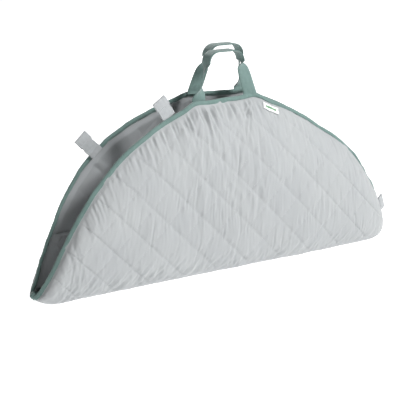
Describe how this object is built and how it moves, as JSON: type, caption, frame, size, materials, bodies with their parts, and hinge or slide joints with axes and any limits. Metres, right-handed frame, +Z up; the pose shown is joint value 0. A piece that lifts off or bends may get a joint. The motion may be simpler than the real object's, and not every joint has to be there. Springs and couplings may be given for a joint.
{
  "type": "folding play mat",
  "caption": "Soft round quilted play mat, folded in half to a half-moon and carried by webbing handles, with closing tabs round its bound rim.",
  "frame": {"origin": "middle of the flat base under the fold", "axes": "+X along the fold, towards the corner with the narrow opening; -Y the front half, with the label; +Z up, towards the handles"},
  "size_m": [0.877, 0.139, 0.461],
  "materials": {
    "quilted_cover": "light grey quilted cotton, matt",
    "wadding": "white polyester wadding",
    "lining": "grey woven lining, matt",
    "binding": "sage green woven binding tape",
    "elastic": "white woven elastic",
    "webbing": "sage green woven webbing",
    "tab_webbing": "light grey woven webbing",
    "hook_pad": "grey hook fastener, moulded hooks",
    "label": "white woven satin label with a plain green stripe"
  },
  "bodies": {
    "fold": {"fold_cover": "quilted_cover", "fold_padding": "wadding", "fold_lining": "lining", "corner_bindings": "binding"},
    "front_half": {"front_cover": "quilted_cover", "front_padding_left": "wadding", "front_padding_middle": "wadding", "front_padding_right": "wadding", "front_lining": "lining", "front_binding": "binding", "front_rim_elastic": "elastic", "front_handle_ends": "webbing", "front_tab_end": "tab_webbing", "name_label": "label"},
    "back_half": {"back_cover": "quilted_cover", "back_padding_left": "wadding", "back_padding_middle": "wadding", "back_padding_right": "wadding", "back_lining": "lining", "back_binding": "binding", "back_rim_elastic": "elastic", "back_handle_ends": "webbing", "back_tab_end": "tab_webbing", "right_tab_end": "tab_webbing"},
    "front_handle": {"front_handle": "webbing"},
    "back_handle": {"back_handle": "webbing"},
    "front_tab": {"front_tab_strap": "tab_webbing", "front_tab_hook": "hook_pad"},
    "back_tab": {"back_tab_strap": "tab_webbing", "back_tab_hook": "hook_pad"},
    "right_tab": {"right_tab_strap": "tab_webbing", "right_tab_hook": "hook_pad"}
  },
  "joints": [
    {"name": "front_fold", "type": "hinge", "parent": "fold", "child": "front_half", "pos_m": [0, -0.038, 0.02], "axis": [1, 0, 0], "range_deg": [0, 85]},
    {"name": "back_fold", "type": "hinge", "parent": "fold", "child": "back_half", "pos_m": [0, 0.038, 0.02], "axis": [-1, 0, 0], "range_deg": [0, 85]},
    {"name": "front_handle_swing", "type": "hinge", "parent": "front_half", "child": "front_handle", "pos_m": [0, -0.02224, 0.36438], "axis": [1, 0, 0], "range_deg": [0, 75]},
    {"name": "back_handle_swing", "type": "hinge", "parent": "back_half", "child": "back_handle", "pos_m": [0, 0.02224, 0.37203], "axis": [-1, 0, 0], "range_deg": [0, 75]},
    {"name": "front_tab_bend", "type": "hinge", "parent": "front_half", "child": "front_tab", "pos_m": [-0.14176, -0.03563, 0.33984], "axis": [0.9381, 0, 0.3464], "range_deg": [-60, 60]},
    {"name": "back_tab_bend", "type": "hinge", "parent": "back_half", "child": "back_tab", "pos_m": [-0.26443, 0.04416, 0.27379], "axis": [-0.7508, 0, -0.6605], "range_deg": [-60, 60]},
    {"name": "right_tab_bend", "type": "hinge", "parent": "back_half", "child": "right_tab", "pos_m": [0.41659, 0.008, 0.06323], "axis": [-0.2874, 0, 0.9578], "range_deg": [-60, 35]}
  ]
}
